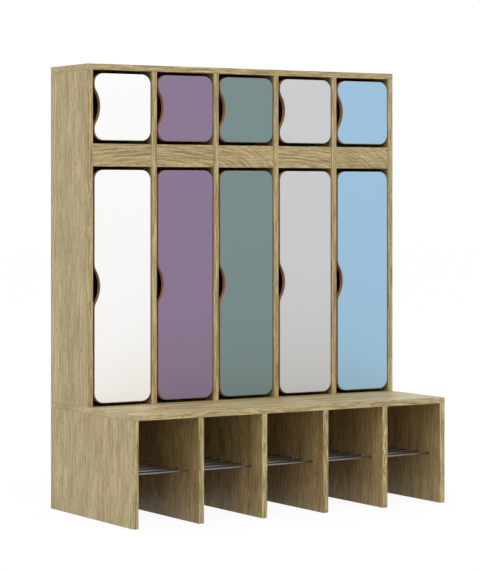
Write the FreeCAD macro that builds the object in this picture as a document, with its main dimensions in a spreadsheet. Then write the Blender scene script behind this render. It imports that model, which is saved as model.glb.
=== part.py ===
import FreeCAD
import Part
import Sketcher
import os
from math import atan2, pi

# A locker wardrobe of five bays that stands on a shoe bench.
# Millimetres. The origin is on the floor under the middle of the outline,
# +X runs to the right seen from the front, +Y to the wall behind, +Z up.

BAYS = 5

# Driving sizes, one cell of the sheet each
SIZES = {
    # boards of the carcass
    "board": 18,
    "board_ease": 0.8,
    "back_thickness": 3,
    "bay_width": 200,
    "cabinet_depth": 240,
    "bench_depth": 520,
    "bench_upright_height": 310,
    "lower_opening": 716,
    "rail_height": 68,
    "rail_setback": 2,
    "upper_opening": 220,
    "back_margin": 1,
    "shelf_play": 0.5,
    # doors
    "door_thickness": 16,
    "door_hinge_gap": 3,
    "door_free_gap": 5.6,
    "door_end_gap": 10,
    "door_corner_radius": 30,
    "door_edge_round": 3,
    "corner_straight": 2,
    "notch_depth": 19,
    "notch_hollow_radius": 90,
    "notch_lip_radius": 40,
    # hinges: a cup let into the door, and an arm on the upright that turns on the cup's pin
    "cup_radius": 17.5,
    "cup_cover": 3.5,
    "cup_edge": 5,
    "cup_wall": 1,
    "cup_floor": 0.8,
    "pin_radius": 1,
    "pin_inset": 11,
    "pin_clearance": 0.08,
    "eye_wall": 1.32,
    "eye_room": 0.8,
    "hook_clearance": 0.7,
    "arm_thickness": 2.5,
    "arm_width": 10,
    "plate_width": 16,
    "plate_length": 40,
    "upper_hinge_inset": 48,
    "lower_hinge_inset": 100,
    # shoe rods
    "rod_radius": 3,
    "rod_height": 150,
    "rod_first": 60,
    "rod_pitch": 60,
    "rod_back_margin": 30,
    # coat pegs, turned wood with a tenon
    "peg_drop": 84,
    "peg_tenon_radius": 4,
    "peg_root_radius": 7,
    "peg_neck_radius": 5,
    "peg_length": 36,
    "peg_knob_radius": 9,
    # blind holes and fasteners
    "web": 2,
    "overrun": 1,
    "dowel_radius": 4,
    "dowel_cover": 6,
    "dowel_hold": 22,
    "shelf_pin_radius": 2.5,
    "shelf_pin_seat": 8,
    "carcass_screw_head_radius": 5,
    "carcass_screw_head": 4,
    "carcass_screw_radius": 3.2,
    "carcass_screw_length": 50,
    "hinge_screw_head_radius": 3.5,
    "hinge_screw_head": 2,
    "hinge_screw_radius": 1.75,
    "hinge_screw_cover": 5,
    "back_screw_head_radius": 2.5,
    "back_screw_head": 1.4,
    "back_screw_radius": 1.25,
    "back_screw_length": 16,
}

# Lengths that follow from the driving sizes
WORKED = {
    "pitch": "sizes.bay_width + sizes.board",
    "width": f"{BAYS} * pitch + sizes.board",
    "left": "-width / 2",
    "bench_front": "-(sizes.bench_depth + sizes.back_thickness) / 2",
    "rear": "bench_front + sizes.bench_depth",
    "front": "rear - sizes.cabinet_depth",
    "bench_height": "sizes.bench_upright_height + sizes.board",
    "back_seam": "sizes.bench_upright_height + sizes.board / 2",
    "upright_height": "sizes.lower_opening + sizes.rail_height + sizes.upper_opening",
    "upright_top": "bench_height + upright_height",
    "rail_bottom": "bench_height + sizes.lower_opening",
    "rail_top": "rail_bottom + sizes.rail_height",
    "rail_front": "front + sizes.rail_setback",
    "shelf_bottom": "rail_top - sizes.board",
    "shelf_front": "rail_front + sizes.board",
    "blind": "(sizes.board - sizes.web) / 2",
    "dowel_seat": "sizes.board - sizes.dowel_cover",
    "door_width": "sizes.bay_width - sizes.door_hinge_gap - sizes.door_free_gap",
    "upper_door_bottom": "rail_top + sizes.door_end_gap",
    "upper_door_height": "sizes.upper_opening - 2 * sizes.door_end_gap",
    "lower_door_bottom": "bench_height + sizes.door_end_gap",
    "lower_door_height": "sizes.lower_opening - 2 * sizes.door_end_gap",
    "notch_radii": "sizes.notch_hollow_radius + sizes.notch_lip_radius",
    "notch_half": "sqrt(notch_radii ^ 2 - (notch_radii - sizes.notch_depth) ^ 2)",
    "upper_door_corner": "min(sizes.door_corner_radius;"
                         " upper_door_height / 2 - notch_half - sizes.corner_straight)",
    "lower_door_corner": "min(sizes.door_corner_radius;"
                         " lower_door_height / 2 - notch_half - sizes.corner_straight)",
    "cup_depth": "sizes.door_thickness - sizes.cup_cover",
    "eye_radius": "sizes.pin_radius + sizes.pin_clearance + sizes.eye_wall",
    "pin_setback": "sizes.cup_cover + sizes.cup_floor + sizes.eye_room + eye_radius",
    "rim_reach": "sqrt(sizes.pin_inset ^ 2 + (sizes.door_thickness - pin_setback) ^ 2)",
    "hook_inner": "rim_reach + sizes.hook_clearance",
    "hook_outer": "hook_inner + sizes.arm_thickness",
    "pin_y": "front + pin_setback",
    "hinge_screw_hold": "sizes.board - sizes.hinge_screw_cover",
}

# Places of the fasteners, as shares of the board that they sit in
TOP_SCREW_SHARES = (0.2, 0.8)
BENCH_SCREW_SHARES = (0.32, 0.68)
CABINET_DOWEL_SHARES = (0.15, 0.85)
BENCH_DOWEL_SHARES = (0.15, 0.65)
RAIL_DOWEL_SHARES = (0.25, 0.75)
SHELF_PIN_SHARES = (0.15, 0.85)
PLATE_SCREW_SHARES = (0.35, 0.8)
PEG_DEPTH_SHARE = 0.55
CABINET_BACK_SHARES = (0.05, 0.35, 0.65, 0.95)
BENCH_BACK_SHARES = (0.12, 0.88)

doc = FreeCAD.newDocument("wardrobe")
X_AXIS = FreeCAD.Vector(1, 0, 0)
Y_AXIS = FreeCAD.Vector(0, 1, 0)
Z_AXIS = FreeCAD.Vector(0, 0, 1)

# The sheet of driving sizes, and the sheet of lengths worked out from it
sizes = doc.addObject("Spreadsheet::Sheet", "sizes")
for row, (alias, number) in enumerate(SIZES.items(), start=1):
    sizes.set(f"A{row}", alias.replace("_", " "))
    sizes.set(f"B{row}", str(number))
    sizes.setAlias(f"B{row}", alias)
worked = doc.addObject("Spreadsheet::Sheet", "worked")
for row, (alias, formula) in enumerate(WORKED.items(), start=1):
    worked.set(f"A{row}", alias.replace("_", " "))
    worked.set(f"B{row}", "=" + formula)
    worked.setAlias(f"B{row}", alias)
doc.recompute()


# Shapes bound to the sheets: every argument that is a size or a place is an expression

def place(item, x, y, z):
    """Puts an object's own origin at three expressions."""
    item.setExpression("Placement.Base.x", x)
    item.setExpression("Placement.Base.y", y)
    item.setExpression("Placement.Base.z", z)
    return item


def block(name, length, width, height, x, y, z):
    """A rectangular block with its left, front, lower corner at x, y, z."""
    item = doc.addObject("Part::Box", name)
    item.setExpression("Length", length)
    item.setExpression("Width", width)
    item.setExpression("Height", height)
    return place(item, x, y, z)


def rod(name, radius, length, towards, x, y, z):
    """A round rod that starts at x, y, z and runs along the direction given."""
    item = doc.addObject("Part::Cylinder", name)
    item.Placement.Rotation = FreeCAD.Rotation(Z_AXIS, towards)
    item.setExpression("Radius", radius)
    item.setExpression("Height", length)
    return place(item, x, y, z)


def cone(name, start_radius, end_radius, length, towards, x, y, z):
    """A cone that starts at x, y, z and runs along the direction given."""
    item = doc.addObject("Part::Cone", name)
    item.Placement.Rotation = FreeCAD.Rotation(Z_AXIS, towards)
    item.setExpression("Radius1", start_radius)
    item.setExpression("Radius2", end_radius)
    item.setExpression("Height", length)
    return place(item, x, y, z)


def joined(name, *shapes):
    """One solid of several shapes that meet."""
    item = doc.addObject("Part::MultiFuse", name)
    item.Shapes = list(shapes)
    item.Refine = True
    return item


def group(name, shapes):
    """Separate solids kept together."""
    item = doc.addObject("Part::Compound", name)
    item.Links = list(shapes)
    return item


def cut(name, blank, tools):
    """A blank with the tools taken out of it."""
    item = doc.addObject("Part::Cut", name)
    item.Base = blank
    item.Tool = tools[0] if len(tools) == 1 else group(name + "_tools", tools)
    return item


# Boards are drilled by the very pieces that sit in them, so a hole always fits its piece

blanks = {}
drills = {}
fasteners = {}
nodes = []


def board(name, length, width, height, x, y, z):
    """A board of the carcass with every edge eased, before it is drilled."""
    body = doc.addObject("PartDesign::Body", name + "_blank")
    sawn = body.newObject("PartDesign::AdditiveBox", name + "_sawn")
    sawn.setExpression("Length", length)
    sawn.setExpression("Width", width)
    sawn.setExpression("Height", height)
    doc.recompute()
    eased = body.newObject("PartDesign::Chamfer", name + "_eased")
    eased.Base = (sawn, [""])
    eased.UseAllEdges = True
    eased.setExpression("Size", "sizes.board_ease")
    blanks[name] = place(body, x, y, z)
    drills[name] = []


def back_panel(name, height, z):
    """A thin sheet behind the carcass, set in by a margin all round, before it is drilled."""
    blanks[name] = block(name + "_blank", "worked.width - 2 * sizes.back_margin", "sizes.back_thickness",
                         f"{height} - 2 * sizes.back_margin",
                         "worked.left + sizes.back_margin", "worked.rear", f"{z} + sizes.back_margin")
    drills[name] = []


def drill(tool, *boards):
    """Notes that a piece sits in these boards."""
    for name in boards:
        drills[name].append(tool)


def fasten(kind, tool, *boards):
    """Adds a fastener to its kind and drills the boards that it joins."""
    fasteners.setdefault(kind, []).append(tool)
    drill(tool, *boards)


def serial(kind):
    """A name for the next fastener of a kind."""
    return f"{kind}_{len(fasteners.get(kind, [])) + 1}"


def finish(name, item):
    """Makes an object one of the model's sub-parts, under its own label."""
    item.Label = name
    nodes.append(item)


# Places along the width

def upright_x(index):
    """The left face of an upright, counted from the left side."""
    return f"(worked.left + {index} * worked.pitch)"


def upright_middle(index):
    """The middle of an upright's thickness."""
    return f"({upright_x(index)} + sizes.board / 2)"


def left_wall(bay):
    """The left wall of a bay."""
    return f"({upright_x(bay)} + sizes.board)"


def right_wall(bay):
    """The right wall of a bay."""
    return upright_x(bay + 1)


BAY_RANGE = range(BAYS)
UPRIGHT_RANGE = range(BAYS + 1)
INNER = [str(index) for index in range(1, BAYS)]
UPRIGHTS = ["left_side", *("partition_" + index for index in INNER), "right_side"]
BENCH_UPRIGHTS = ["bench_" + name for name in UPRIGHTS]


# Bench: uprights straight to the floor, with the seat board lying over them

for index, name in enumerate(BENCH_UPRIGHTS):
    board(name, "sizes.board", "sizes.bench_depth", "sizes.bench_upright_height",
          upright_x(index), "worked.bench_front", "0")
board("bench_top", "worked.width", "sizes.bench_depth", "sizes.board",
      "worked.left", "worked.bench_front", "sizes.bench_upright_height")
back_panel("bench_back", "worked.back_seam", "0")


# Shoe rods: a level row of steel rods in each bench bay, let into both walls

rod_run = sizes.bench_depth - sizes.rod_first - sizes.rod_back_margin
ROD_RANGE = range(int(rod_run / sizes.rod_pitch) + 1)
for bay in BAY_RANGE:
    rods = []
    for step in ROD_RANGE:
        rods.append(rod(f"shoe_rod_{bay + 1}_{step + 1}", "sizes.rod_radius",
                        "sizes.bay_width + 2 * worked.blind", X_AXIS,
                        f"{left_wall(bay)} - worked.blind",
                        f"worked.bench_front + sizes.rod_first + {step} * sizes.rod_pitch",
                        "sizes.rod_height"))
        drill(rods[-1], BENCH_UPRIGHTS[bay], BENCH_UPRIGHTS[bay + 1])
    finish(f"shoe_rods_{bay + 1}", group(f"shoe_rods_{bay + 1}", rods))


# Cabinet: uprights on the bench top, the top panel over them, a rail and a hat shelf in each bay

for index, name in enumerate(UPRIGHTS):
    board(name, "sizes.board", "sizes.cabinet_depth", "worked.upright_height",
          upright_x(index), "worked.front", "worked.bench_height")
board("top_panel", "worked.width", "sizes.cabinet_depth", "sizes.board",
      "worked.left", "worked.front", "worked.upright_top")
back_panel("cabinet_back", "worked.upright_top + sizes.board - worked.back_seam", "worked.back_seam")
for bay in BAY_RANGE:
    board(f"rail_{bay + 1}", "sizes.bay_width", "sizes.board", "sizes.rail_height",
          left_wall(bay), "worked.rail_front", "worked.rail_bottom")
    board(f"hat_shelf_{bay + 1}", "sizes.bay_width - 2 * sizes.shelf_play",
          "worked.rear - worked.shelf_front", "sizes.board",
          f"{left_wall(bay)} + sizes.shelf_play", "worked.shelf_front", "worked.shelf_bottom")


# Doors: a board with round corners, an eased front edge and a finger notch in the left edge

def door_outline(sketch, height, corner):
    """Draws the outline from the lower right corner of the door, as tangent lines and arcs."""
    wide = worked.door_width
    tall = worked.get(height)
    round_radius = worked.get(corner)
    lip = sizes.notch_lip_radius
    hollow = sizes.notch_hollow_radius
    half = worked.notch_half
    turn = atan2(half, worked.notch_radii - sizes.notch_depth)
    middle = tall / 2

    def line(x0, y0, x1, y1):
        return Part.LineSegment(FreeCAD.Vector(x0, y0, 0), FreeCAD.Vector(x1, y1, 0))

    def arc(x, y, radius, start, end):
        circle = Part.Circle(FreeCAD.Vector(x, y, 0), Z_AXIS, radius)
        return Part.ArcOfCircle(circle, start, end)

    inner = wide - round_radius
    pieces = [
        ("bottom", line(-inner, 0, -round_radius, 0)),
        ("lower_right", arc(-round_radius, round_radius, round_radius, -pi / 2, 0)),
        ("right", line(0, round_radius, 0, tall - round_radius)),
        ("upper_right", arc(-round_radius, tall - round_radius, round_radius, 0, pi / 2)),
        ("top", line(-round_radius, tall, -inner, tall)),
        ("upper_left", arc(-inner, tall - round_radius, round_radius, pi / 2, pi)),
        ("left_above", line(-wide, tall - round_radius, -wide, middle + half)),
        ("lip_above", arc(lip - wide, middle + half, lip, pi, pi + turn)),
        ("hollow", arc(sizes.notch_depth - hollow - wide, middle, hollow, -turn, turn)),
        ("lip_below", arc(lip - wide, middle - half, lip, pi - turn, pi)),
        ("left_below", line(-wide, middle - half, -wide, round_radius)),
        ("lower_left", arc(-inner, round_radius, round_radius, pi, 3 * pi / 2)),
    ]
    at = {name: sketch.addGeometry(shape) for name, shape in pieces}
    start, end, centre = 1, 2, 3

    # every piece runs on smoothly into the next; the hollow is drawn against the way round
    names = [name for name, shape in pieces]
    for name, following in zip(names, names[1:] + names[:1]):
        leaves = start if name == "hollow" else end
        enters = end if following == "hollow" else start
        sketch.addConstraint(Sketcher.Constraint("Tangent", at[name], leaves, at[following], enters))
    for name in ("bottom", "top"):
        sketch.addConstraint(Sketcher.Constraint("Horizontal", at[name]))
    for name in ("right", "left_above", "left_below"):
        sketch.addConstraint(Sketcher.Constraint("Vertical", at[name]))
    for name in ("upper_right", "upper_left", "lower_left"):
        sketch.addConstraint(Sketcher.Constraint("Equal", at["lower_right"], at[name]))
    sketch.addConstraint(Sketcher.Constraint("Equal", at["lip_above"], at["lip_below"]))
    sketch.addConstraint(Sketcher.Constraint("PointOnObject", at["right"], start, -2))
    sketch.addConstraint(Sketcher.Constraint("PointOnObject", at["bottom"], start, -1))
    sketch.addConstraint(Sketcher.Constraint("Vertical", at["left_above"], end, at["left_below"], start))

    def driven(name, expression, *constraint):
        index = sketch.addConstraint(Sketcher.Constraint(*constraint))
        sketch.renameConstraint(index, name)
        sketch.setExpression("Constraints." + name, expression)

    driven("corner", "worked." + corner, "Radius", at["lower_right"], round_radius)
    driven("lip", "sizes.notch_lip_radius", "Radius", at["lip_above"], lip)
    driven("hollow", "sizes.notch_hollow_radius", "Radius", at["hollow"], hollow)
    driven("width", "worked.door_width", "DistanceX", at["left_above"], end, at["right"], start, wide)
    driven("height", "worked." + height, "DistanceY", at["bottom"], end, at["top"], start, tall)
    driven("notch_height", f"worked.{height} / 2", "DistanceY", at["bottom"], end,
           at["hollow"], centre, middle)
    driven("hollow_offset", "sizes.notch_hollow_radius - sizes.notch_depth", "DistanceX",
           at["hollow"], centre, at["left_above"], end, hollow - sizes.notch_depth)


def door_slab(name, bay, bottom, height, corner):
    """The door before the hinge cups are bored: outline, thickness and eased front edge."""
    body = doc.addObject("PartDesign::Body", name + "_slab")
    place(body, f"{right_wall(bay)} - sizes.door_hinge_gap", "worked.front", bottom)
    front_plane = next(plane for plane in body.Origin.OriginFeatures if plane.Role == "XZ_Plane")
    sketch = body.newObject("Sketcher::SketchObject", name + "_outline")
    sketch.AttachmentSupport = [(front_plane, "")]
    sketch.MapMode = "FlatFace"
    door_outline(sketch, height, corner)
    pad = body.newObject("PartDesign::Pad", name + "_pad")
    pad.Profile = sketch
    pad.setExpression("Length", "sizes.door_thickness")
    pad.Reversed = True
    doc.recompute()
    depths = [face.BoundBox.YMax for face in pad.Shape.Faces]
    front_face = depths.index(min(depths)) + 1
    eased = body.newObject("PartDesign::Fillet", name + "_eased")
    eased.Base = (pad, [f"Face{front_face}"])
    eased.setExpression("Radius", "sizes.door_edge_round")
    return body


# Hinges: the cup with its pin turns with the door, the arm hooks round the door's rim to the upright

def hinge_cup(name, pin_x, cup_x, z):
    """A thin steel cup with the hinge pin across it, trimmed to the cup's outside."""
    outside = rod(name + "_outside", "sizes.cup_radius", "worked.cup_depth", Y_AXIS,
                  cup_x, "worked.front + sizes.cup_cover", z)
    inside = rod(name + "_inside", "sizes.cup_radius - sizes.cup_wall", "worked.cup_depth", Y_AXIS,
                 cup_x, "worked.front + sizes.cup_cover + sizes.cup_floor", z)
    long_pin = rod(name + "_long_pin", "sizes.pin_radius", "2 * sizes.cup_radius", Z_AXIS,
                   pin_x, "worked.pin_y", f"{z} - sizes.cup_radius")
    pin = doc.addObject("Part::Common", name + "_pin")
    pin.Base = long_pin
    pin.Tool = outside
    return joined(name, cut(name + "_shell", outside, [inside]), pin)


def hinge_screw(name, wall_x, y, z):
    """A round-head screw through the arm's plate into the upright, driven towards +X."""
    start = f"{wall_x} - sizes.arm_thickness - sizes.hinge_screw_head"
    head = rod(name + "_head", "sizes.hinge_screw_head_radius", "sizes.hinge_screw_head", X_AXIS,
               start, y, z)
    shank = rod(name + "_shank", "sizes.hinge_screw_radius",
                "sizes.hinge_screw_head + sizes.arm_thickness + worked.hinge_screw_hold", X_AXIS,
                start, y, z)
    return joined(name, head, shank)


def hinge_arm(name, pin_x, wall_x, z, screws):
    """An eye on the pin, a spoke, a quarter hook behind the door's rim, a bridge and a wall plate."""
    low = f"{z} - sizes.arm_width / 2"
    hook_y = "worked.pin_y + worked.hook_inner"
    eye = rod(name + "_eye", "worked.eye_radius", "sizes.arm_width", Z_AXIS, pin_x, "worked.pin_y", low)
    spoke = block(name + "_spoke", "worked.hook_outer", "sizes.arm_thickness", "sizes.arm_width",
                  f"{pin_x} - worked.hook_outer", "worked.pin_y - sizes.arm_thickness / 2", low)
    sector = rod(name + "_sector", "worked.hook_outer", "sizes.arm_width", Z_AXIS,
                 pin_x, "worked.pin_y", low)
    sector.Angle = 90
    sector.Placement.Rotation = FreeCAD.Rotation(Z_AXIS, 90)
    core = rod(name + "_core", "worked.hook_inner", "sizes.arm_width", Z_AXIS, pin_x, "worked.pin_y", low)
    hook = cut(name + "_hook", sector, [core])
    bridge = block(name + "_bridge", f"{wall_x} - {pin_x}", "sizes.arm_thickness", "sizes.arm_width",
                   pin_x, hook_y, low)
    plate = block(name + "_plate", "sizes.arm_thickness", "sizes.plate_length", "sizes.plate_width",
                  f"{wall_x} - sizes.arm_thickness", hook_y, f"{z} - sizes.plate_width / 2")
    bore = rod(name + "_bore", "sizes.pin_radius + sizes.pin_clearance",
               "sizes.arm_width + 2 * sizes.overrun", Z_AXIS,
               pin_x, "worked.pin_y", f"{low} - sizes.overrun")
    blank = joined(name + "_blank", eye, spoke, hook, bridge, plate)
    return cut(name, blank, [bore, *screws])


hinge_arms = []


def hung_door(level, bay, hinge_inset):
    """One door with its two cups, and the arms and screws that carry it on the upright to its right."""
    door = f"{level}_door_{bay + 1}"
    bottom = f"worked.{level}_door_bottom"
    height = f"{level}_door_height"
    slab = door_slab(door, bay, bottom, height, f"{level}_door_corner")
    wall_x = right_wall(bay)
    edge_x = f"({wall_x} - sizes.door_hinge_gap)"
    pin_x = f"({edge_x} - sizes.pin_inset)"
    cup_x = f"({edge_x} - sizes.cup_edge - sizes.cup_radius)"
    hinge_heights = (f"({bottom} + {hinge_inset})", f"({bottom} + worked.{height} - {hinge_inset})")
    bores = []
    cups = []
    for end, z in zip(("low", "high"), hinge_heights):
        tag = f"{door}_{end}"
        bores.append(rod(tag + "_cup_bore", "sizes.cup_radius", "worked.cup_depth + sizes.overrun", Y_AXIS,
                         cup_x, "worked.front + sizes.cup_cover", z))
        cups.append(hinge_cup(tag + "_cup", pin_x, cup_x, z))
        screws = []
        for share in PLATE_SCREW_SHARES:
            y = f"worked.pin_y + worked.hook_inner + {share} * sizes.plate_length"
            screw = hinge_screw(serial("hinge_screws"), wall_x, y, z)
            fasten("hinge_screws", screw, UPRIGHTS[bay + 1])
            screws.append(screw)
        hinge_arms.append(hinge_arm(tag + "_arm", pin_x, wall_x, z, screws))
    finish(door, cut(door, slab, bores))
    finish(f"{level}_hinge_cups_{bay + 1}", group(f"{level}_hinge_cups_{bay + 1}", cups))


for bay in BAY_RANGE:
    hung_door("upper", bay, "sizes.upper_hinge_inset")
    hung_door("lower", bay, "sizes.lower_hinge_inset")
finish("hinge_arms", group("hinge_arms", hinge_arms))


# Coat pegs: one on each wall of a lower compartment, glued in by its tenon

def coat_peg(name, wall_x, towards, sign):
    """A turned peg: tenon in the wall, tapering stem, round knob."""
    y = f"worked.front + {PEG_DEPTH_SHARE} * sizes.cabinet_depth"
    z = "worked.rail_bottom - sizes.peg_drop"
    tenon = rod(name + "_tenon", "sizes.peg_tenon_radius", "worked.blind + sizes.peg_length", towards,
                f"{wall_x} {'-' if sign > 0 else '+'} worked.blind", y, z)
    stem = cone(name + "_stem", "sizes.peg_root_radius", "sizes.peg_neck_radius", "sizes.peg_length",
                towards, wall_x, y, z)
    knob = doc.addObject("Part::Sphere", name + "_knob")
    knob.Placement.Rotation = FreeCAD.Rotation(Z_AXIS, towards)
    knob.setExpression("Radius", "sizes.peg_knob_radius")
    place(knob, f"{wall_x} {'+' if sign > 0 else '-'} sizes.peg_length", y, z)
    return joined(name, tenon, stem, knob)


coat_pegs = []
for bay in BAY_RANGE:
    for wall_x, towards, sign, upright in (
        (left_wall(bay), X_AXIS, 1, UPRIGHTS[bay]),
        (right_wall(bay), -X_AXIS, -1, UPRIGHTS[bay + 1]),
    ):
        coat_pegs.append(coat_peg(f"coat_peg_{len(coat_pegs) + 1}", wall_x, towards, sign))
        drill(coat_pegs[-1], upright)
finish("coat_pegs", group("coat_pegs", coat_pegs))


# Dowels: rails between the uprights, cabinet on the bench top, bench top on the bench uprights

def upright_dowel(index, y, z, lower_board, upper_board):
    """A vertical dowel in the middle of an upright."""
    dowel = rod(serial("dowels"), "sizes.dowel_radius", "worked.dowel_seat + sizes.dowel_hold", Z_AXIS,
                upright_middle(index), y, z)
    fasten("dowels", dowel, lower_board, upper_board)


for index in UPRIGHT_RANGE:
    for share in CABINET_DOWEL_SHARES:
        upright_dowel(index, f"worked.front + {share} * sizes.cabinet_depth",
                      "worked.bench_height - worked.dowel_seat", "bench_top", UPRIGHTS[index])
    for share in BENCH_DOWEL_SHARES:
        upright_dowel(index, f"worked.bench_front + {share} * (sizes.bench_depth - sizes.cabinet_depth)",
                      "sizes.bench_upright_height - sizes.dowel_hold", BENCH_UPRIGHTS[index], "bench_top")
for bay in BAY_RANGE:
    for share in RAIL_DOWEL_SHARES:
        for x, upright in (
            (f"{left_wall(bay)} - worked.blind", UPRIGHTS[bay]),
            (f"{right_wall(bay)} - sizes.dowel_hold", UPRIGHTS[bay + 1]),
        ):
            dowel = rod(serial("dowels"), "sizes.dowel_radius", "worked.blind + sizes.dowel_hold", X_AXIS,
                        x, "worked.rail_front + sizes.board / 2",
                        f"worked.rail_bottom + {share} * sizes.rail_height")
            fasten("dowels", dowel, f"rail_{bay + 1}", upright)


# Shelf pins: two in each wall of a bay, with the hat shelf lying on them

for bay in BAY_RANGE:
    for share in SHELF_PIN_SHARES:
        for x, upright in (
            (f"{left_wall(bay)} - worked.blind", UPRIGHTS[bay]),
            (f"{right_wall(bay)} - sizes.shelf_pin_seat", UPRIGHTS[bay + 1]),
        ):
            pin = rod(serial("shelf_pins"), "sizes.shelf_pin_radius", "worked.blind + sizes.shelf_pin_seat",
                      X_AXIS, x, f"worked.shelf_front + {share} * (worked.rear - worked.shelf_front)",
                      "worked.shelf_bottom - sizes.shelf_pin_radius")
            fasten("shelf_pins", pin, upright)


# Carcass screws: down through the top panel, and through the bench top where the cabinet covers them

def carcass_screw(index, share, z, *boards):
    """A screw with a sunk cylinder head, driven down into the end of an upright."""
    name = serial("carcass_screws")
    y = f"worked.front + {share} * sizes.cabinet_depth"
    head = rod(name + "_head", "sizes.carcass_screw_head_radius", "sizes.carcass_screw_head", -Z_AXIS,
               upright_middle(index), y, z)
    shank = rod(name + "_shank", "sizes.carcass_screw_radius", "sizes.carcass_screw_length", -Z_AXIS,
                upright_middle(index), y, z)
    fasten("carcass_screws", joined(name, head, shank), *boards)


for index in UPRIGHT_RANGE:
    for share in TOP_SCREW_SHARES:
        carcass_screw(index, share, "worked.upright_top + sizes.board", "top_panel", UPRIGHTS[index])
    for share in BENCH_SCREW_SHARES:
        carcass_screw(index, share, "worked.bench_height", "bench_top", BENCH_UPRIGHTS[index])


# Back panel screws: flush heads, into the rear edges of the uprights

def back_screw(index, z, *boards):
    """A flat-head screw through a back panel, driven towards the front."""
    name = serial("back_panel_screws")
    rear_face = "worked.rear + sizes.back_thickness"
    head = cone(name + "_head", "sizes.back_screw_head_radius", "sizes.back_screw_radius",
                "sizes.back_screw_head", -Y_AXIS, upright_middle(index), rear_face, z)
    shank = rod(name + "_shank", "sizes.back_screw_radius", "sizes.back_screw_length", -Y_AXIS,
                upright_middle(index), rear_face, z)
    fasten("back_panel_screws", joined(name, head, shank), *boards)


for index in UPRIGHT_RANGE:
    for share in CABINET_BACK_SHARES:
        back_screw(index, f"worked.bench_height + {share} * worked.upright_height",
                   "cabinet_back", UPRIGHTS[index])
    for share in BENCH_BACK_SHARES:
        back_screw(index, f"{share} * sizes.bench_upright_height", "bench_back", BENCH_UPRIGHTS[index])


# Drill the boards, gather the fasteners, check everything and write one file for each sub-part

for name, blank in blanks.items():
    finish(name, cut(name, blank, drills[name]) if drills[name] else blank)
for kind, pieces in fasteners.items():
    finish(kind, group(kind, pieces))
doc.recompute()

failed = [item.Label for item in doc.Objects if {"Invalid", "Error"} & set(item.State)]
failed += [node.Label for node in nodes if node.Shape.isNull() or not node.Shape.isValid()]
if failed:
    raise RuntimeError("these did not build: " + ", ".join(failed))
os.makedirs("parts", exist_ok=True)
for node in nodes:
    node.Shape.exportStep(f"parts/{node.Label}.step")
print(len(nodes), "sub-parts,", sum(len(node.Shape.Solids) for node in nodes), "solids")
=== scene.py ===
from math import pi, radians

import bpy
import numpy as np
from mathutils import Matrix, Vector


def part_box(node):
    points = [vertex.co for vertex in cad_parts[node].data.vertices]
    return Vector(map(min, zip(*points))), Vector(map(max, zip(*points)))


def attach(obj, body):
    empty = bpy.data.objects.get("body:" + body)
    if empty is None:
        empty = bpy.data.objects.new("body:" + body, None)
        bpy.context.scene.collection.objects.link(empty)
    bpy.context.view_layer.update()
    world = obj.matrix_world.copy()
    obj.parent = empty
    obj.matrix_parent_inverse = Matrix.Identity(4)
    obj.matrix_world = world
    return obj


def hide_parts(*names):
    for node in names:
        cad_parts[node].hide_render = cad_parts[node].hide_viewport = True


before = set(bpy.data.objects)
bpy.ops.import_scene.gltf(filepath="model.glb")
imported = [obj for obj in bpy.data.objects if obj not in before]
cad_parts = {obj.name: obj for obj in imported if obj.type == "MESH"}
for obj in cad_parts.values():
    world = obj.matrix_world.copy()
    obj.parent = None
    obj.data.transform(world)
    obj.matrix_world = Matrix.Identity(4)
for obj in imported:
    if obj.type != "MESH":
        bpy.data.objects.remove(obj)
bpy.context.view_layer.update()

# Bench uprights
# Six boards of 18 mm chipboard, faced and edged with a matt oak print, grain upright.
# They stand straight on the floor and carry the seat board on dowels.

BAYS = 5
MILLIMETRE = 0.001
BENCH_UPRIGHTS = [
    "bench_left_side",
    *(f"bench_partition_{number}" for number in range(1, BAYS)),
    "bench_right_side",
]

# sizes of the print in millimetres; its lines are drawn coarser than real ones, so that they show
FIBRE_WIDTH = 3.6
FIBRE_LENGTH = 100
PORE_WIDTH = 2.4
PORE_LENGTH = 18
TONE_WIDTH = 45
TONE_LENGTH = 900
WAVE_WIDTH = 90
WAVE_LENGTH = 320
PITH_DISTANCE = 42
EDGING_THICKNESS = 0.9
EMBOSS_DEPTH = 0.15

# share of the slow tone against the lines, part of the pore noise that opens into pores and how far
# a pore darkens, strength of the embossing, and roughness between the fibres and on them
TONE_SHARE = 0.17
PORE_RANGE = (0.54, 0.72)
PORE_DEPTH = 0.6
EMBOSS_STRENGTH = 0.25
PRINT_ROUGHNESS = (0.38, 0.54)
MELAMINE_IOR = 1.5

# a board's number shifts its print along the grain and its pith sideways, so that no two are alike;
# noise runs from 0 to 1
SHIFT_REACH = 1700
SHIFT_TURN = 2.4
PITH_TURN = 1.7
NOISE_MIDDLE = 0.5

# figures of the growth rings, in millimetres: ring pitch, sideways sway, length of a line, and distance
# of the pith's nearest point along the grain; then the lean of the shells along the grain, the share of
# the rings against the fibres, and half the range of shade that is spread over the tones
PLAIN = {"pitch": 7, "sway": 8, "length": 200, "away": 0, "taper": 0.13, "rings": 0.2, "spread": 0.105}
ARCHED = {"pitch": 11, "sway": 30, "length": 90, "away": 150, "taper": 0.3, "rings": 0.35, "spread": 0.095}

# the dark and the pale colour of the print: outer sides and seat, front edging strips, inner boards
FACE_TONES = ("8C784B", "C6B587")
DEEP_TONES = ("836E42", "C4B181")
# the inner pair is the face print darkened and warmed: painted shade for the shaded bench bays
SHADED_INNER_TONES = ("7E6539", "BFA776")
PORE_TONE = "64502C"

# turns that lay the grain along Z, and sides of a board by axis, 0 for the low and 1 for the high one
GRAIN_TURNS = {"X": (0, pi / 2, 0), "Y": (-pi / 2, 0, 0), "Z": (0, 0, 0)}
FRONT_EDGE = (1, 0)
RIGHT_END = (0, 1)

# sockets of a mix node, for shares, for places and for colours: the two values, and the result
SHARE_A, SHARE_B = 2, 3
PLACE_A, PLACE_B, PLACE_OUT = 4, 5, 1
MIX_A, MIX_B, MIXED = 6, 7, 2


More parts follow.
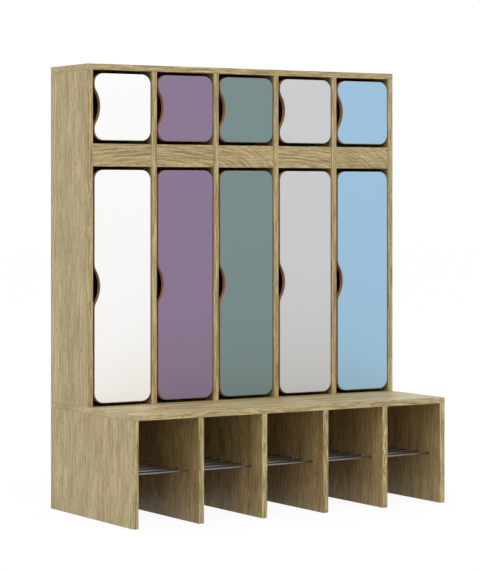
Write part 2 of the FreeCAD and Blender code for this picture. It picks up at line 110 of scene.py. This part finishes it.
def linear(hex_colour):
    """sRGB hex to linear light: a straight line at the dark end, then a power of 2.4."""
    srgb = np.array([int(hex_colour[at:at + 2], 16) for at in (0, 2, 4)]) / 255
    light = np.where(srgb <= 0.04045, srgb / 12.92, ((srgb + 0.055) / 1.055) ** 2.4)
    return (*light.tolist(), 1.0)


def add(tree, kind, inputs=None, out=0, **settings):
    """Adds a node with its settings, gives its inputs values or links, and returns one output."""
    made = tree.nodes.new("ShaderNode" + kind)
    for name, value in settings.items():
        setattr(made, name, value)
    for socket, value in (inputs or {}).items():
        if isinstance(value, bpy.types.NodeSocket):
            tree.links.new(value, made.inputs[socket])
        else:
            made.inputs[socket].default_value = value
    return made.outputs[out] if len(made.outputs) else None


def finish(name):
    """A new material with an empty node tree."""
    made = bpy.data.materials.new(name)
    made.use_nodes = True
    made.node_tree.nodes.clear()
    return made


def dress(node, material):
    """Puts a finish on a node of the frame."""
    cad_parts[node].data.materials.clear()
    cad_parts[node].data.materials.append(material)


def oak_print(board, grain, number, edges, tones, figure=PLAIN, beside=None):
    """Oak print on melamine, embossed with its fibres: matt, with a soft sheen at a low angle.

    In the pattern's own frame, in millimetres, the grain runs along Z from the middle of the board.
    Growth rings are shells round a pith beside the board: the distance from the pith, swayed by a
    slow noise and leaning along the grain, so that the shells meet the face as arches. Ring lines
    are noise over that distance and the length. Fibres, pores and tone are noise drawn out along
    the grain. Edges are the sides with an edging strip. A strip along the grain is printed with
    fibres alone, in the deep tones, and a strip on the end of the grain like the face, but with
    its grain along the strip.
    """
    material = finish("oak_print_" + board)
    tree = material.node_tree
    low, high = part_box(board)
    middle = (low + high) / 2
    margin = EDGING_THICKNESS * MILLIMETRE
    place = add(tree, "TexCoord", out="Object")
    split = add(tree, "SeparateXYZ", {"Vector": place}).node

    def strip_share(strips):
        """1 within the edging strips on the given sides, and 0 elsewhere."""
        share = 0.0
        for side, end in strips:
            limit = high[side] - margin if end else low[side] + margin
            inside = add(tree, "Math", {0: split.outputs[side], 1: limit},
                         operation="GREATER_THAN" if end else "LESS_THAN")
            share = add(tree, "Math", {0: share, 1: inside}, operation="MAXIMUM")
        return share

    def streaks(vector, width, length, detail, roughness=0.5, out=0):
        """Noise drawn out along the grain, so many millimetres wide and long."""
        drawn = add(tree, "VectorMath", {0: vector, 1: (1 / width, 1 / width, 1 / length)},
                    operation="MULTIPLY")
        return add(tree, "TexNoise", {"Vector": drawn, "Scale": 1.0, "Detail": detail,
                                      "Roughness": roughness}, out=out)

    strip = strip_share([edge for edge in edges if "XYZ"[edge[0]] != grain])
    end_strip = strip_share([edge for edge in edges if "XYZ"[edge[0]] == grain])
    on_face, on_end = (add(tree, "Mapping", {"Vector": place, "Location": middle,
                                             "Rotation": GRAIN_TURNS[axis], "Scale": [MILLIMETRE] * 3},
                           vector_type="TEXTURE") for axis in (grain, "Y"))
    wood = add(tree, "Mix", {0: end_strip, PLACE_A: on_face, PLACE_B: on_end},
               out=PLACE_OUT, data_type="VECTOR")
    shift = SHIFT_REACH * np.sin(SHIFT_TURN * number)
    wood = add(tree, "VectorMath", {0: wood, 1: (0, 0, shift)}, operation="ADD")

    slow = streaks(wood, WAVE_WIDTH, WAVE_LENGTH, detail=1.0, out=1)
    offset = add(tree, "VectorMath", {0: slow, 1: [NOISE_MIDDLE] * 3}, operation="SUBTRACT")
    offset = add(tree, "VectorMath", {0: offset, "Scale": 2 * figure["sway"]}, operation="SCALE")
    swayed = add(tree, "VectorMath", {0: wood, 1: offset}, operation="ADD")
    if beside is None:
        beside = PITH_DISTANCE * np.sin(PITH_TURN * number)
    away = figure["away"] * (-1) ** number - shift
    flat_on_y = grain == "X" and high.y - low.y < high.z - low.z
    pith = (beside, PITH_DISTANCE, away) if flat_on_y else (PITH_DISTANCE, beside, away)
    from_pith = add(tree, "VectorMath", {0: swayed, 1: pith}, operation="ADD")
    tapered = add(tree, "VectorMath", {0: from_pith, 1: (1, 1, figure["taper"])}, operation="MULTIPLY")
    shell = add(tree, "VectorMath", {0: tapered}, out="Value", operation="LENGTH")
    along = add(tree, "SeparateXYZ", {"Vector": wood}, out="Z")
    shells = add(tree, "CombineXYZ", {"X": shell, "Z": along})
    rings = streaks(shells, figure["pitch"], figure["length"], detail=3.0, roughness=0.65)
    fibres = streaks(swayed, FIBRE_WIDTH, FIBRE_LENGTH, detail=4.0, roughness=0.6)
    pores = streaks(swayed, PORE_WIDTH, PORE_LENGTH, detail=1.0)
    tone = streaks(wood, TONE_WIDTH, TONE_LENGTH, detail=2.0)

    ring_share = add(tree, "MapRange", {"Value": strip, "To Min": figure["rings"], "To Max": 0.0})
    lines = add(tree, "Mix", {0: ring_share, SHARE_A: fibres, SHARE_B: rings})
    shade = add(tree, "Mix", {0: TONE_SHARE, SHARE_A: lines, SHARE_B: tone})
    spread = add(tree, "MapRange", {"Value": shade, "From Min": NOISE_MIDDLE - figure["spread"],
                                    "From Max": NOISE_MIDDLE + figure["spread"]})
    face, deeper = (add(tree, "Mix", {0: spread, MIX_A: linear(dark), MIX_B: linear(pale)},
                        out=MIXED, data_type="RGBA") for dark, pale in (tones, DEEP_TONES))
    faced = add(tree, "Mix", {0: strip, MIX_A: face, MIX_B: deeper}, out=MIXED, data_type="RGBA")
    open_pores = add(tree, "MapRange", {"Value": pores, "From Min": PORE_RANGE[0],
                                        "From Max": PORE_RANGE[1], "To Max": PORE_DEPTH})
    colour = add(tree, "Mix", {0: open_pores, MIX_A: faced, MIX_B: linear(PORE_TONE)},
                 out=MIXED, data_type="RGBA")
    sheen = add(tree, "MapRange", {"Value": fibres, "To Min": PRINT_ROUGHNESS[0],
                                   "To Max": PRINT_ROUGHNESS[1]})
    relief = add(tree, "Bump", {"Strength": EMBOSS_STRENGTH, "Distance": EMBOSS_DEPTH * MILLIMETRE,
                                "Height": fibres})
    shader = add(tree, "BsdfPrincipled", {"Base Color": colour, "Roughness": sheen, "Normal": relief,
                                          "IOR": MELAMINE_IOR})
    add(tree, "OutputMaterial", {"Surface": shader})
    return material


# the partitions and the right-hand board are printed in the inner tones, darker and warmer: painted shade
# for the bays
# the right-hand board takes the inner tones, and its outer face is printed like a strip, in the deep ones
for number, upright in enumerate(BENCH_UPRIGHTS):
    covered = [FRONT_EDGE, RIGHT_END] if upright == "bench_right_side" else [FRONT_EDGE]
    tones = FACE_TONES if upright == "bench_left_side" else SHADED_INNER_TONES
    figure = PLAIN if upright.endswith("side") else ARCHED
    dress(upright, oak_print(upright, "Z", number, covered, tones, figure))

# Seat board
# One long board over all the bench uprights, same oak print, grain along the bench.
# It lies on dowels and is screwed down where the cabinet covers the heads.

SEAT_PRINT = 12
SEAT_PITH = 130
LEFT_END = (0, 0)
BROAD = {"pitch": 26, "sway": 20, "length": 260, "away": 0, "taper": 0.14, "rings": 0.8, "spread": 0.11}
dress("bench_top", oak_print("bench_top", "X", SEAT_PRINT, [FRONT_EDGE, LEFT_END, RIGHT_END], FACE_TONES,
                             BROAD, SEAT_PITH))

# Shoe rods
# Eight drawn steel rods in each bench bay, 6 mm thick, let into both walls.
# Drawing leaves fine lines along the rod and a satin grey lustre.

DRAW_LINE_WIDTH = 0.6
DRAW_LINE_STRETCH = 100
DRAWN_ROUGHNESS = (0.22, 0.42)
ROD_TONES = ("6C6D72", "8E8F94")


def drawn_steel(name, dark, bright, along):
    """Satin metal with fine lines along one axis: drawn-out noise varies its colour and roughness."""
    material = finish(name)
    tree = material.node_tree
    place = add(tree, "TexCoord", out="Object")
    stretch = [1 / MILLIMETRE] * 3
    stretch["XYZ".index(along)] /= DRAW_LINE_STRETCH
    lines = add(tree, "TexNoise", {"Vector": add(tree, "Mapping", {"Vector": place, "Scale": stretch}),
                                   "Scale": 1 / DRAW_LINE_WIDTH, "Detail": 2.0})
    colour = add(tree, "Mix", {0: lines, MIX_A: linear(dark), MIX_B: linear(bright)},
                 out=MIXED, data_type="RGBA")
    rough = add(tree, "MapRange", {"Value": lines, "To Min": DRAWN_ROUGHNESS[0],
                                   "To Max": DRAWN_ROUGHNESS[1]})
    shader = add(tree, "BsdfPrincipled", {"Base Color": colour, "Metallic": 1.0, "Roughness": rough})
    add(tree, "OutputMaterial", {"Surface": shader})
    return material


rod_finish = drawn_steel("drawn_steel_rod", *ROD_TONES, "X")
for bay in range(1, BAYS + 1):
    dress(f"shoe_rods_{bay}", rod_finish)

# Backs
# Two sheets of 3 mm hardboard, brown pressed fibre, that close the bench and the cabinet behind.
# They are screwed on the rear edges of the uprights and keep the carcass square.

CLUMP_SIZE = 4
CLOUD_SIZE = 240
CLOUD_SHARE = 0.35
FELT_RANGE = (0.3, 0.7)
FELT_DEPTH = 0.2
FELT_STRENGTH = 0.3
HARDBOARD_ROUGHNESS = 0.55
HARDBOARD_TONES = ("5E4630", "8A6B4A")


def hardboard(name):
    """Pressed wood fibre: a brown sheet with dark and light clumps and a faint grain of felt."""
    material = finish(name)
    tree = material.node_tree
    place = add(tree, "TexCoord", out="Object")
    sheet = add(tree, "Mapping", {"Vector": place, "Scale": [1 / MILLIMETRE] * 3})
    clumps = add(tree, "TexNoise", {"Vector": sheet, "Scale": 1 / CLUMP_SIZE, "Detail": 5.0,
                                    "Roughness": 0.7})
    clouds = add(tree, "TexNoise", {"Vector": sheet, "Scale": 1 / CLOUD_SIZE, "Detail": 2.0})
    mixed = add(tree, "Mix", {0: CLOUD_SHARE, SHARE_A: clumps, SHARE_B: clouds})
    spread = add(tree, "MapRange", {"Value": mixed, "From Min": FELT_RANGE[0], "From Max": FELT_RANGE[1]})
    dark, pale = HARDBOARD_TONES
    colour = add(tree, "Mix", {0: spread, MIX_A: linear(dark), MIX_B: linear(pale)},
                 out=MIXED, data_type="RGBA")
    relief = add(tree, "Bump", {"Strength": FELT_STRENGTH, "Distance": FELT_DEPTH * MILLIMETRE,
                                "Height": clumps})
    shader = add(tree, "BsdfPrincipled", {"Base Color": colour, "Roughness": HARDBOARD_ROUGHNESS,
                                          "Normal": relief})
    add(tree, "OutputMaterial", {"Surface": shader})
    return material


hardboard_finish = hardboard("brown_hardboard")
dress("bench_back", hardboard_finish)
dress("cabinet_back", hardboard_finish)

# Cabinet uprights
# Two sides and four partitions, the same board with upright grain, edged on the front.
# They stand on the seat board on dowels, and the doors hang on the right-hand one of each bay.

FIRST_UPRIGHT_PRINT = 11
UPRIGHTS = ["left_side", *(f"partition_{number}" for number in range(1, BAYS)), "right_side"]
for number, upright in enumerate(UPRIGHTS, FIRST_UPRIGHT_PRINT):
    tones = FACE_TONES if upright.endswith("side") else DEEP_TONES
    dress(upright, oak_print(upright, "Z", number, [FRONT_EDGE], tones))

# Rails and hat shelves
# A rail across the front of each bay between its two doors, and a shelf behind it.
# The rail is dowelled between the uprights, and the shelf lies loose on four pins.

LOWER_EDGE = (2, 0)
UPPER_EDGE = (2, 1)
RAIL_PITH = -62
ROLLING = {"pitch": 5, "sway": 14, "length": 130, "away": 160, "taper": 0.2, "rings": 0.65, "spread": 0.09}
FLAMED = {"pitch": 3, "sway": 14, "length": 90, "away": 160, "taper": 0.42, "rings": 0.65, "spread": 0.09}
RAIL_PRINTS = {1: (21, ROLLING), 2: (22, ROLLING), 3: (24, FLAMED), 4: (26, ROLLING), 5: (28, FLAMED)}
FIRST_SHELF_PRINT = 31
for bay, (number, figure) in RAIL_PRINTS.items():
    rail = f"rail_{bay}"
    shelf = f"hat_shelf_{bay}"
    shelf_number = FIRST_SHELF_PRINT + bay - 1
    dress(rail, oak_print(rail, "X", number, [LOWER_EDGE, UPPER_EDGE], DEEP_TONES, figure, RAIL_PITH))
    dress(shelf, oak_print(shelf, "X", shelf_number, [FRONT_EDGE], DEEP_TONES))

# Top panel
# One board over all the uprights, grain along it, edged on the front and on both ends.
# It is screwed down into the ends of the uprights.

TOP_PRINT = 43
dress("top_panel", oak_print("top_panel", "X", TOP_PRINT, [FRONT_EDGE, LEFT_END, RIGHT_END], FACE_TONES,
                             BROAD))

# Coat pegs and dowels
# Turned beech: pegs glued into the walls of the lower compartments, dowels hidden in the joints.
# Beech is pale and pinkish, with short dark flecks along the grain.

FLECK_WIDTH = 1.2
FLECK_LENGTH = 10
FLECK_RANGE = (0.35, 0.65)
BEECH_ROUGHNESS = 0.45
BEECH_TONES = ("B98A5E", "D6AE82")


def beech(name):
    """Turned beech, oiled to a low sheen: noise drawn out along the peg gives short darker flecks."""
    material = finish(name)
    tree = material.node_tree
    place = add(tree, "TexCoord", out="Object")
    stretch = (FLECK_WIDTH / FLECK_LENGTH / MILLIMETRE, 1 / MILLIMETRE, 1 / MILLIMETRE)
    wood = add(tree, "Mapping", {"Vector": place, "Scale": stretch})
    flecks = add(tree, "TexNoise", {"Vector": wood, "Scale": 1 / FLECK_WIDTH, "Detail": 3.0})
    spread = add(tree, "MapRange", {"Value": flecks, "From Min": FLECK_RANGE[0],
                                    "From Max": FLECK_RANGE[1]})
    dark, pale = BEECH_TONES
    colour = add(tree, "Mix", {0: spread, MIX_A: linear(dark), MIX_B: linear(pale)},
                 out=MIXED, data_type="RGBA")
    shader = add(tree, "BsdfPrincipled", {"Base Color": colour, "Roughness": BEECH_ROUGHNESS})
    add(tree, "OutputMaterial", {"Surface": shader})
    return material


beech_finish = beech("turned_beech")
dress("coat_pegs", beech_finish)
dress("dowels", beech_finish)

# Doors
# Boards of 16 mm MDF with a coloured satin film pressed over the face and its rounded edge.
# The sawn edges and the finger notch are bare brown fibre, and the rear has a white backing.

LEVELS = ("upper", "lower")
FILM_REACH = 1.4
BACKING = 0.4
MDF_GRIT = 1.5
PEEL_GRIT = 3
PEEL_DEPTH = 0.1
PEEL_STRENGTH = 0.05
PEEL_SHADE = 0.985
FILM_ROUGHNESS = 0.36
BARE_ROUGHNESS = 0.75
FILM_IOR = 1.48
MDF_TONES = ("8F5F3C", "C28D60")
BACKING_TONE = "EDEBE6"
FILMS = {1: "F6F6F6", 2: "826E8B", 3: "6E8484", 4: "C6C7C9", 5: "97BDD8"}


def film_on_mdf(name, door, hex_colour):
    """Satin film on the front, fibre on the sawn edge and a white backing, told apart by depth.

    The film has a faint unevenness from pressing, in shade and in relief. The fibre is mottled by
    a fine grit. Film shines softly, and fibre and backing are dull.
    """
    material = finish(name)
    tree = material.node_tree
    low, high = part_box(door)
    place = add(tree, "TexCoord", out="Object")
    depth = add(tree, "SeparateXYZ", {"Vector": place}, out="Y")
    sheet = add(tree, "Mapping", {"Vector": place, "Scale": [1 / MILLIMETRE] * 3})
    grit = add(tree, "TexNoise", {"Vector": sheet, "Scale": 1 / MDF_GRIT, "Detail": 4.0,
                                  "Roughness": 0.7})
    peel = add(tree, "TexNoise", {"Vector": sheet, "Scale": 1 / PEEL_GRIT, "Detail": 1.0})
    dark, pale = MDF_TONES
    fibre = add(tree, "Mix", {0: grit, MIX_A: linear(dark), MIX_B: linear(pale)},
                out=MIXED, data_type="RGBA")
    on_back = add(tree, "Math", {0: depth, 1: high.y - BACKING * MILLIMETRE}, operation="GREATER_THAN")
    on_front = add(tree, "Math", {0: depth, 1: low.y + FILM_REACH * MILLIMETRE}, operation="LESS_THAN")
    backed = add(tree, "Mix", {0: on_back, MIX_A: fibre, MIX_B: linear(BACKING_TONE)},
                 out=MIXED, data_type="RGBA")
    pressed = [PEEL_SHADE * value for value in linear(hex_colour)[:3]] + [1]
    film = add(tree, "Mix", {0: peel, MIX_A: linear(hex_colour), MIX_B: pressed},
               out=MIXED, data_type="RGBA")
    colour = add(tree, "Mix", {0: on_front, MIX_A: backed, MIX_B: film}, out=MIXED, data_type="RGBA")
    rough = add(tree, "Mix", {0: on_front, SHARE_A: BARE_ROUGHNESS, SHARE_B: FILM_ROUGHNESS})
    relief = add(tree, "Bump", {"Strength": PEEL_STRENGTH, "Distance": PEEL_DEPTH * MILLIMETRE,
                                "Height": peel})
    shader = add(tree, "BsdfPrincipled", {"Base Color": colour, "Roughness": rough, "Normal": relief,
                                          "IOR": FILM_IOR})
    add(tree, "OutputMaterial", {"Surface": shader})
    return material


for bay in range(1, BAYS + 1):
    for level in LEVELS:
        door = f"{level}_door_{bay}"
        dress(door, film_on_mdf("film_on_mdf_" + door, door, FILMS[bay]))

# Hinges
# A nickel-plated cup let into the door, and a hooked arm screwed to the upright.
# Plating is smooth and bright, a little yellower than steel.

NICKEL_TONES = ("B4B0A8", "D2CFC8")
nickel_finish = drawn_steel("nickel_plated_steel", *NICKEL_TONES, "Z")
for bay in range(1, BAYS + 1):
    for level in LEVELS:
        dress(f"{level}_hinge_cups_{bay}", nickel_finish)
dress("hinge_arms", nickel_finish)

# Screws and shelf pins
# Zinc-plated steel: hinge screws, carcass screws, back panel screws and the pins under the shelves.
# Screws are turned, with a cross or a hexagon pressed into the head, and the plating is a dull warm grey.

ZINC_TONES = ("A9A79E", "C9C7BE")
zinc_finish = drawn_steel("zinc_plated_steel", *ZINC_TONES, "Z")
dress("shelf_pins", zinc_finish)

# steps of a turn, easing of a head's rim in millimetres, shares of the way from recess to rim, and the
# angle in radians by which each screw is turned on
TURN_STEPS = 48
HEAD_EASE = 0.3
HEAD_SHARES = (0, 0.35, 0.7, 1)
NEXT_TURN = 0.9
SHARP_CORNER = radians(32)

# shares of the head's radius: half the width of a cross's arm, its reach, half the width of a hexagon,
# and how near to a screw its node's corners lie; then the recess's depth as a share of the head's, its
# floor as a share of its mouth, and its lowest point as a share of its depth
CROSS_FLANK = 0.15
CROSS_REACH = 0.62
HEXAGON_FLAT = 0.45
NEAR_HEAD = 1.2
RECESS_DEPTH = 0.75
RECESS_FLOOR = 0.7
RECESS_TIP = 1.1


def groups(values, gap):
    """Lowest and highest value of each group of values, where a wider gap parts two groups."""
    ordered = np.unique(values)
    breaks = np.flatnonzero(np.diff(ordered) > gap * MILLIMETRE)
    return ordered[np.append(0, breaks + 1)], ordered[np.append(breaks, -1)]


def seat_grid(node, gaps, at, head_radius):
    """Places of a node's screws: the middles of its groups along each axis, or their low or high end.

    A crossing of groups counts only where corners of the node lie near it.
    """
    corners = np.empty(3 * len(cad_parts[node].data.vertices))
    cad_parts[node].data.vertices.foreach_get("co", corners)
    corners = corners.reshape(-1, 3)
    ends = [groups(values, gap) for values, gap in zip(corners.T, gaps)]
    places = [{"low": low, "middle": (low + high) / 2, "high": high}[end]
              for (low, high), end in zip(ends, at)]
    crossings = np.stack(np.meshgrid(*places, indexing="ij"), -1).reshape(-1, 3)
    nearest = np.abs(crossings[:, None] - corners).max(-1).min(1)
    return crossings[nearest < NEAR_HEAD * head_radius * MILLIMETRE]


# keeps the flank of a cross from running to infinity along its arm
LEAST_SINE = 0.01


def cross_recess(angle, head_radius):
    """Radius of a plus sign along an angle: to the end of its arm, or to its flank if that is nearer."""
    sine, cosine = np.abs(np.sin(angle)), np.abs(np.cos(angle))
    flank = CROSS_FLANK * head_radius / np.maximum(np.minimum(sine, cosine), LEAST_SINE)
    return np.minimum(flank, CROSS_REACH * head_radius / np.maximum(sine, cosine))


def hexagon_recess(angle, head_radius):
    """Radius of a hexagon along an angle: half its width over the cosine from the middle of a flat."""
    return HEXAGON_FLAT * head_radius / np.cos(angle % (pi / 3) - pi / 6)


def turned_screws(node, out, gaps, at, recess, head_radius, head, shank_radius, length, crown, taper):
    """Like screws in one mesh: a profile turned round an axis, with a recess in the head.

    Rows are rings from the floor of the recess over the head and down the shank, and a point of a ring
    is its radius times the cosine and sine of the turn. Inside the head a radius lies between the
    recess and the rim, and its height falls by the crown times the squared share of the rim. With
    taper the head narrows straight to the shank. Each screw is turned on by a further angle.
    """
    seats = seat_grid(node, gaps, at, head_radius)
    angle = np.linspace(0, 2 * pi, TURN_STEPS, endpoint=False)
    hole = recess(angle, head_radius)
    rim = np.full(TURN_STEPS, float(head_radius))
    shank = np.full(TURN_STEPS, float(shank_radius))
    inner = [hole + share * (rim - HEAD_EASE - hole) for share in HEAD_SHARES]
    depth = RECESS_DEPTH * head
    radii = np.array([RECESS_FLOOR * hole, *inner, rim, shank if taper else rim, shank, shank])
    crowned = [-crown * (row / head_radius) ** 2 for row in inner]
    lip = crowned[-1] - (0 if taper else HEAD_EASE)
    neck = head + HEAD_EASE if taper else head
    point = length - 2 * shank_radius
    heights = np.array([np.full(TURN_STEPS, -depth), *crowned, lip,
                        *(np.full(TURN_STEPS, -float(fall)) for fall in (head, neck, point))])
    rows = len(radii)
    turns = angle + NEXT_TURN * np.arange(len(seats))[:, None, None]
    rings = np.stack([radii * np.cos(turns), radii * np.sin(turns), np.broadcast_to(
        heights, (len(seats), rows, TURN_STEPS))], axis=-1).reshape(len(seats), -1, 3)
    poles = np.broadcast_to([(0, 0, -RECESS_TIP * depth), (0, 0, -length)], (len(seats), 2, 3))
    local = np.concatenate([rings, poles], axis=1)
    first = np.array((0, 0, 1)) if out[2] == 0 else np.array((1, 0, 0))
    axes = np.array([first, np.cross(out, first), out], float)
    points = seats[:, None] + MILLIMETRE * local @ axes

    here = np.arange(TURN_STEPS)
    beyond = np.roll(here, -1)
    down = TURN_STEPS * np.arange(rows - 1)[:, None]
    below = down + TURN_STEPS
    quads = np.stack([down + here, below + here, below + beyond, down + beyond], -1)
    last = (rows - 1) * TURN_STEPS
    floor_fan = np.stack([np.full(TURN_STEPS, rows * TURN_STEPS), here, beyond], -1)
    tip_fan = np.stack([np.full(TURN_STEPS, rows * TURN_STEPS + 1), last + beyond, last + here], -1)
    starts = (rows * TURN_STEPS + 2) * np.arange(len(seats))[:, None, None]
    faces = [face for kind in (quads.reshape(-1, 4), floor_fan, tip_fan)
             for face in (starts + kind).reshape(-1, kind.shape[-1]).tolist()]
    mesh = bpy.data.meshes.new("driven_" + node)
    mesh.from_pydata(points.reshape(-1, 3).tolist(), [], faces)
    mesh.shade_smooth()
    mesh.set_sharp_from_angle(angle=SHARP_CORNER)
    mesh.materials.append(zinc_finish)
    screws = bpy.data.objects.new("driven_" + node, mesh)
    bpy.context.scene.collection.objects.link(screws)
    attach(screws, "carcass")
    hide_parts(node)


# for each node of screws: the way its heads face, the gaps that part one screw from the next along each
# axis, where in its group along each axis the middle of a head lies, the recess, and sizes in millimetres
SCREWS = {
    "hinge_screws": {"out": (-1, 0, 0), "gaps": (50, 3, 20), "at": ("low", "middle", "middle"),
                     "recess": cross_recess, "head_radius": 3.5, "head": 2, "shank_radius": 1.75,
                     "length": 17.5, "crown": 0.5, "taper": False},
    "back_panel_screws": {"out": (0, 1, 0), "gaps": (50, 30, 20), "at": ("middle", "high", "middle"),
                          "recess": cross_recess, "head_radius": 2.5, "head": 1.4, "shank_radius": 1.25,
                          "length": 16, "crown": 0, "taper": True},
    "carcass_screws": {"out": (0, 0, 1), "gaps": (50, 10, 100), "at": ("middle", "middle", "high"),
                       "recess": hexagon_recess, "head_radius": 5, "head": 4, "shank_radius": 3.2,
                       "length": 50, "crown": 0, "taper": False},
}
for node, sizes in SCREWS.items():
    turned_screws(node, **sizes)

# Studio
# A white floor under an even white sky, and a wide soft lamp in front on the left.
# The camera sees the floor nearly white, and a share of its own shading keeps the soft shadow.

WHITE = (1, 1, 1, 1)
FLOOR_SIZE = 60.0
FLOOR_PAINT = (0.58, 0.58, 0.58, 1)
FLOOR_GLOW = 1.035
SHADOW_SHARE = 0.10
SKY_LEVEL = 1.045
LAMP_POWER = 480
LAMP_SIZE = 6.0
LAMP_PLACE = (-3.5, -5.5, 11.0)
LAMP_AIM = (0, 0, 0.7)


def seen_share(tree):
    """1 for rays from the camera, off a shiny surface or through glass, and 0 for rays of plain light."""
    rays = add(tree, "LightPath").node
    seen = add(tree, "Math", {0: rays.outputs["Is Camera Ray"], 1: rays.outputs["Is Glossy Ray"]},
               operation="MAXIMUM")
    return add(tree, "Math", {0: seen, 1: rays.outputs["Is Transmission Ray"]}, operation="MAXIMUM")


floor_mesh = bpy.data.meshes.new("floor")
corners = np.array([(-1, -1, 0), (1, -1, 0), (1, 1, 0), (-1, 1, 0)]) * FLOOR_SIZE / 2
floor_mesh.from_pydata(corners.tolist(), [], [(0, 1, 2, 3)])
floor = bpy.data.objects.new("floor", floor_mesh)
bpy.context.scene.collection.objects.link(floor)
floor_finish = finish("white_floor")
tree = floor_finish.node_tree
glow_share = add(tree, "Math", {0: seen_share(tree), 1: 1 - SHADOW_SHARE}, operation="MULTIPLY")
paint = add(tree, "BsdfDiffuse", {"Color": FLOOR_PAINT})
glow = add(tree, "Emission", {"Color": WHITE, "Strength": FLOOR_GLOW})
add(tree, "OutputMaterial", {"Surface": add(tree, "MixShader", {0: glow_share, 1: paint, 2: glow})})
floor_mesh.materials.append(floor_finish)

sky = bpy.data.worlds.new("white_sky")
sky.use_nodes = True
tree = sky.node_tree
tree.nodes.clear()
sky_level = add(tree, "MapRange", {"Value": seen_share(tree), "To Min": SKY_LEVEL, "To Max": 1.0})
add(tree, "OutputWorld", {"Surface": add(tree, "Background", {"Color": WHITE, "Strength": sky_level})})
bpy.context.scene.world = sky

lamp_light = bpy.data.lights.new("soft_lamp", "AREA")
lamp_light.energy = LAMP_POWER
lamp_light.size = LAMP_SIZE
lamp = bpy.data.objects.new("soft_lamp", lamp_light)
lamp.location = LAMP_PLACE
lamp.rotation_euler = (Vector(LAMP_AIM) - lamp.location).to_track_quat("-Z", "Y").to_euler()
bpy.context.scene.collection.objects.link(lamp)
bpy.context.scene.view_settings.view_transform = "Standard"

# Camera
# Level, with a long lens, from the left of the front, at the height of a small child's eyes.
# The frame is shifted down, so uprights stay upright as they do in the photograph.

FRAME_HEIGHT = 571
FOCAL_PIXELS = 2264.2
HORIZON_ROW = 197.55
SENSOR = 36.0
CAMERA_PLACE = (-3.6835, -5.9469, 0.9512)
CAMERA_YAW = radians(-31.531)
lens = bpy.data.cameras.new("camera")
lens.sensor_width = SENSOR
lens.lens = FOCAL_PIXELS * SENSOR / FRAME_HEIGHT
lens.shift_y = (HORIZON_ROW - FRAME_HEIGHT / 2) / FRAME_HEIGHT
camera = bpy.data.objects.new("camera", lens)
camera.location = CAMERA_PLACE
camera.rotation_euler = (pi / 2, 0, CAMERA_YAW)
bpy.context.scene.collection.objects.link(camera)
bpy.context.scene.camera = camera
